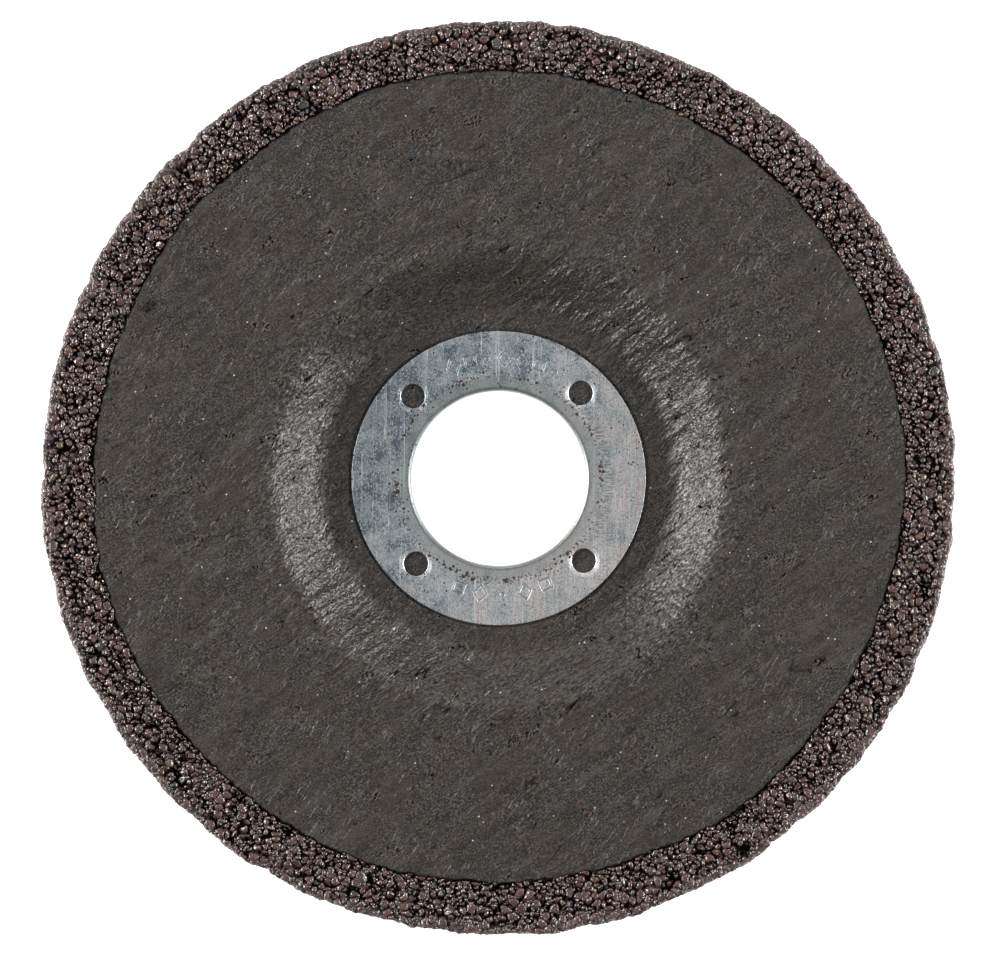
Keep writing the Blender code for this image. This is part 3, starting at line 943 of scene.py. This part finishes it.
def paper_look():
    """Charcoal paper, chipped and streaky, with a patchy sheen on the slope of the recess."""
    look = Look("facing_paper")
    speckle = look.noise(0.18, detail=1, rough=0.6, place=look.mapped(40, (1.6, 1, 1)))
    border, slope = look.value("border"), look.value("slope")
    chip, rim = paper_chips(look)
    tear = look.math("MAXIMUM", chip, look.value("tear"), clamp=True)
    dark, light = paper_strokes(look)
    colour = paper_colour(look, speckle)
    # Pale tan rims round the chips, partly a painted glint.
    colour = look.mix(look.times(rim, 0.55), colour, (0.150, 0.105, 0.075))
    # Painted shade: tears and chips are coloured near black.
    colour = look.mix(look.times(tear, 0.85), colour, (0.003, 0.002, 0.002))
    # Painted shade: a near-black line along the paper's torn edge.
    colour = look.mix(look.times(border, 0.95), colour, grey(0.003))
    # Painted shade along the dark strokes and painted highlights along the light ones, which the bump below
    # also raises.
    colour = look.mix(look.times(dark, 0.60), colour, (0.004, 0.003, 0.003))
    colour = look.mix(look.times(light, 0.42), colour, (0.082, 0.080, 0.078))

    weave = look.noise(0.26, detail=1, rough=0.5, place=look.mapped(38, (2.4, 1, 1)))
    creases = look.noise(0.85, detail=2, rough=0.5, place=look.mapped(38, (6.0, 1, 1)))
    normal = look.bump(look.times(weave, look.remap(slope, 0.0, 1.0, 0.65, 1.0)), 0.130)
    normal = look.bump(light, 0.14, normal=normal)
    creases = look.times(creases, look.remap(slope, 0.0, 1.0, 0.15, 1.0))
    normal = look.bump(creases, 0.27, normal=normal)
    normal = look.bump(look.math("SUBTRACT", 1.0, chip), 0.10, normal=normal)

    roughness = look.remap(look.noise(0.9, detail=3), 0.3, 0.7, 0.38, 0.54)
    dull = look.math("MAXIMUM", tear, border, clamp=True)
    flat_shine = look.remap(speckle, 0.34, 0.66, 0.44, 0.64)
    slope_shine = look.remap(weave, 0.34, 0.66, 0.22, 0.88)
    shine = look.mix(slope, flat_shine, slope_shine)
    shine = look.times(look.remap(dull, 0.0, 0.8, 1.0, 0.0), shine)
    return look.finish(colour, roughness, normal, gloss=shine)


def zinc_colour(look, state, brushed):
    """Dull blue-grey to bright zinc as the painted reflection runs, brushed along Y, with grit, blotches,
    scratches and scuffs.
    """
    colour = look.ramp(state, [
        (0.05, (0.25, 0.290, 0.305)),
        (0.35, (0.40, 0.435, 0.450)),
        (0.65, (0.62, 0.635, 0.645)),
        (1.00, (0.84, 0.815, 0.810)),
    ])
    crossed = look.noise(0.20, detail=2, rough=0.6, place=look.mapped(0, (9, 1, 1)))
    wide_brushed = look.noise(0.8, detail=4, place=look.mapped(0, (1, 9, 1)))
    # A pink tint where the painted reflection is brightest.
    pink = look.times(look.remap(wide_brushed, 0.46, 0.64, 0.0, 0.75), look.remap(state, 0.5, 0.9))
    colour = look.mix(pink, colour, (0.82, 0.66, 0.63))
    colour = look.mix(look.remap(brushed, 0.30, 0.62, 0.45, 0.0), colour, (0.28, 0.31, 0.33))
    grit = look.noise(0.15, detail=1, place=look.mapped(0, (1, 1.5, 1)))
    colour = look.stain(
        colour,
        (brushed, 0.64, 0.80, 0.70, (0.95, 0.95, 0.96)),
        (crossed, 0.42, 0.30, 0.45, (0.30, 0.33, 0.35)),
        (grit, 0.46, 0.30, 0.60, (0.17, 0.19, 0.20)),
        (grit, 0.56, 0.72, 0.45, grey(0.90)),
    )
    blotch = look.noise(1.9, detail=2, rough=0.6)
    blotch = look.math("ADD", blotch, look.remap(grit, 0.3, 0.7, 0.13, -0.13))
    blotch = look.math("ADD", blotch, look.remap(wide_brushed, 0.35, 0.65, -0.06, 0.06))
    blotch = look.remap(blotch, 0.47, 0.66, 0.0, 0.95)
    # Darker blue-grey blotches gather where the painted reflection is dim.
    blotch = look.times(blotch, look.remap(state, 0.10, 0.75, 1.0, 0.12))
    colour = look.mix(blotch, colour, (0.105, 0.140, 0.175))
    scratch = look.noise(0.9, detail=2, place=look.mapped(0, (1, 70, 1)))
    scratch = look.band(scratch, 0.585, 0.605, 0.006)
    colour = look.mix(look.times(scratch, 0.55), colour, (0.92, 0.93, 0.95))
    scuffs = look.noise(0.20, detail=1, place=look.mapped(0, (5, 1, 1)))
    scuffs = look.times(look.remap(scuffs, 0.47, 0.58, 0.0, 0.8), look.value("scuffed"))
    return look.mix(scuffs, colour, (0.20, 0.24, 0.26))


def rust_spots(look):
    """1 in the rust: round dots that are larger and closer together where the metal is rusty, and grime."""
    rusty = look.value("rusty")
    grime = look.math("ADD", look.noise(0.30, detail=3, rough=0.65), look.times(rusty, 0.14))
    width = look.remap(look.noise(2.6, detail=2), 0.40, 0.64, 0.0, 0.20)
    width = look.math("ADD", width, look.times(rusty, 0.24))
    dots = look.remap(look.math("SUBTRACT", look.cells(0.62), width), -0.04, 0.04, 1.0, 0.0)
    return look.math("MAXIMUM", dots, look.remap(grime, 0.660, 0.715))


def steel_look():
    """Zinc-plated steel with rust and a painted reflection, duller in the dip, with painted shade on the lip
    and in the stamped marks.
    """
    look = Look("zinc_plated_steel", Metallic=1.0)
    patches = look.noise(2.4, detail=5, rough=0.65)
    # The painted reflection, with random patches, sets how bright and how blue the zinc is.
    state = look.math("ADD", look.value("painted_reflection"), look.remap(patches, 0.3, 0.7, -0.26, 0.26), clamp=True)
    brushed = look.noise(0.17, detail=3, rough=0.6, place=look.mapped(0, (1, 26, 1)))
    colour = zinc_colour(look, state, brushed)
    # Duller in the dip; painted shade on the lip and in the stamped marks.
    for key, share, tint in (
        ("dip", 0.50, (0.30, 0.33, 0.31)),
        ("lip", 0.55, (0.13, 0.14, 0.14)),
        ("stamped", 0.60, (0.14, 0.16, 0.17)),
    ):
        colour = look.mix(look.times(look.value(key), share), colour, tint)
    rust = rust_spots(look)
    colour = look.mix(look.times(rust, 0.92), colour, (0.055, 0.022, 0.016))
    roughness = look.mix(rust, look.remap(state, 0.0, 1.0, 0.52, 0.44), grey(0.85))
    normal = look.bump(brushed, 0.014)
    normal = look.bump(look.noise(0.4, detail=3), 0.012, normal=normal)
    return look.finish(colour, roughness, normal)


def glass_look():
    """Glass yarn stained by the resin."""
    look = Look("glass_yarn")
    strands = look.noise(0.22, detail=3, place=look.mapped(0, (1, 8, 1)))
    colour = look.ramp(strands, [(0.3, (0.11, 0.080, 0.036)), (0.7, (0.27, 0.215, 0.120))])
    colour = look.stain(colour, (look.noise(1.8, detail=4), 0.40, 0.62, 0.6, (0.07, 0.035, 0.018)))
    return look.finish(colour, look.remap(strands, 0.3, 0.7, 0.5, 0.3), look.bump(strands, 0.05))


PALE_INK, BLUE_INK = (0.62, 0.60, 0.55), (0.030, 0.160, 0.230)
PRINTED_RINGS = (  # (inner radius, outer radius, ink)
    (15.0, 18.6, PALE_INK),
    (31.5, 32.1, PALE_INK),
    (32.1, 38.0, BLUE_INK),
    (38.0, 38.6, PALE_INK),
    (48.2, 48.8, PALE_INK),
)
ARROW_RADIUS = 43.4
SHAFT_HALF_WIDTH = 0.7
ARROW_TIP, SHAFT_END, HEAD_END, ARROW_TAIL = 0.97, 1.05, 1.06, 1.95  # angles in radians
HEAD_FLARE = 22.0  # how much wider the head gets on each side, in millimetres for each radian from its tip
PRINT_SOFT = 0.08


def printed_arrow(look, radius):
    """1 on the arrow, which bends round the axis and points the way that the wheel turns."""
    split = look.node("ShaderNodeSeparateXYZ")
    look.link(look.place, split.inputs["Vector"])
    heading = look.math("ARCTAN2", split.outputs["Y"], split.outputs["X"])
    shaft = look.band(radius, ARROW_RADIUS - SHAFT_HALF_WIDTH, ARROW_RADIUS + SHAFT_HALF_WIDTH, PRINT_SOFT)
    shaft = look.times(shaft, look.band(heading, SHAFT_END, ARROW_TAIL, 0.004))
    off_line = look.math("ABSOLUTE", look.math("SUBTRACT", radius, ARROW_RADIUS))
    half_width = look.times(look.math("SUBTRACT", heading, ARROW_TIP), HEAD_FLARE)
    head = look.math("LESS_THAN", off_line, half_width)
    head = look.times(head, look.math("LESS_THAN", heading, HEAD_END))
    head = look.times(head, look.math("GREATER_THAN", heading, ARROW_TIP))
    return look.math("MAXIMUM", shaft, head)


def label_look():
    """Plain print: rings, a coloured band and an arrow."""
    look = Look("label_print")
    radius = look.value("radius")
    mottle = look.noise(0.5, detail=4)
    colour = look.ramp(mottle, [(0.3, (0.026, 0.030, 0.034)), (0.7, (0.042, 0.046, 0.050))])
    for inner, outer, ink in PRINTED_RINGS:
        colour = look.mix(look.band(radius, inner, outer, PRINT_SOFT), colour, ink)
    colour = look.mix(printed_arrow(look, radius), colour, PALE_INK)
    worn = look.noise(2.5, detail=6, rough=0.7)
    colour = look.stain(colour, (worn, 0.58, 0.70, 0.6, (0.050, 0.036, 0.032)))
    normal = look.bump(look.noise(0.3, detail=3), 0.03)
    return look.finish(colour, look.remap(mottle, 0.3, 0.7, 0.38, 0.52), normal)


# --- Camera, lights and floor ---

CAMERA_PLACE = (0.18, -1.42, 640.6)  # looks straight down, so the wheel sits a little above the middle
LENS = 180.6
SENSOR = 36
FLOOR_HALF = 6.0  # metres
FLOOR_GREY = 0.92
SKY_STRENGTH = 0.31  # of the light from all round; the camera sees plain white instead
SOFT_BOXES = (  # (name, azimuth in degrees from +X, height, distance, size, watts), in metres
    ("left_box", 173, 0.31, 0.82, (0.55, 0.30), 14),
    ("right_box", 2, 0.31, 0.82, (0.55, 0.30), 12.5),
    ("back_box", 92, 0.55, 0.90, (0.55, 0.35), 2.6),
)


def camera():
    data = bpy.data.cameras.new("camera")
    data.sensor_width = SENSOR
    data.lens = LENS
    data.clip_end = 20
    made = bpy.data.objects.new("camera", data)
    made.location = [place * MM for place in CAMERA_PLACE]
    bpy.context.scene.collection.objects.link(made)
    bpy.context.scene.camera = made


def soft_box(name, azimuth, height, distance, size, power):
    """A rectangular light that faces the wheel."""
    data = bpy.data.lights.new(name, "AREA")
    data.shape = "RECTANGLE"
    data.size, data.size_y = size
    data.energy = power
    made = bpy.data.objects.new(name, data)
    turn = math.radians(azimuth)
    made.location = (distance * math.cos(turn), distance * math.sin(turn), height)
    made.rotation_euler = (-made.location).to_track_quat("-Z", "Y").to_euler()
    made.visible_camera = False
    bpy.context.scene.collection.objects.link(made)


def sky():
    """Dim white light from all round, which the camera sees as bright white."""
    world = bpy.data.worlds.new("studio")
    bpy.context.scene.world = world
    world.use_nodes = True
    nodes, links = world.node_tree.nodes, world.node_tree.links
    dim, bright = nodes["Background"], nodes.new("ShaderNodeBackground")
    dim.inputs["Color"].default_value = (1, 1, 1, 1)
    dim.inputs["Strength"].default_value = SKY_STRENGTH
    bright.inputs["Color"].default_value = (1, 1, 1, 1)
    chooser, path = nodes.new("ShaderNodeMixShader"), nodes.new("ShaderNodeLightPath")
    links.new(path.outputs["Is Camera Ray"], chooser.inputs["Fac"])
    links.new(dim.outputs["Background"], chooser.inputs[1])
    links.new(bright.outputs["Background"], chooser.inputs[2])
    links.new(chooser.outputs["Shader"], nodes["World Output"].inputs["Surface"])


def glowing_floor():
    """A floor that glows white, as a light table does."""
    data = bpy.data.meshes.new("floor")
    corners = [(x * FLOOR_HALF, y * FLOOR_HALF, 0) for x, y in ((-1, -1), (1, -1), (1, 1), (-1, 1))]
    data.from_pydata(corners, [], [(0, 1, 2, 3)])
    floor = bpy.data.objects.new("floor", data)
    bpy.context.scene.collection.objects.link(floor)
    look = Look("floor", Base_Color=(*grey(FLOOR_GREY), 1), Roughness=0.7, Emission_Color=(1, 1, 1, 1))
    look.shader.inputs["Emission Strength"].default_value = 1.0
    data.materials.append(look.material)


def studio():
    """Soft boxes left and right of the wheel and a weaker one behind it, over a glowing floor."""
    for box in SOFT_BOXES:
        soft_box(*box)
    sky()
    glowing_floor()
    bpy.context.scene.view_settings.view_transform = "Standard"


def build():
    camera()
    studio()
    grain, glass = grain_look(), glass_look()
    front_mix(grain)
    back_mix(grain)
    facing_paper(paper_look())
    arbor_ring(steel_look())
    label(label_look())
    for node, degrees in NET_TURNS.items():
        woven_net(node, degrees, glass)


build()
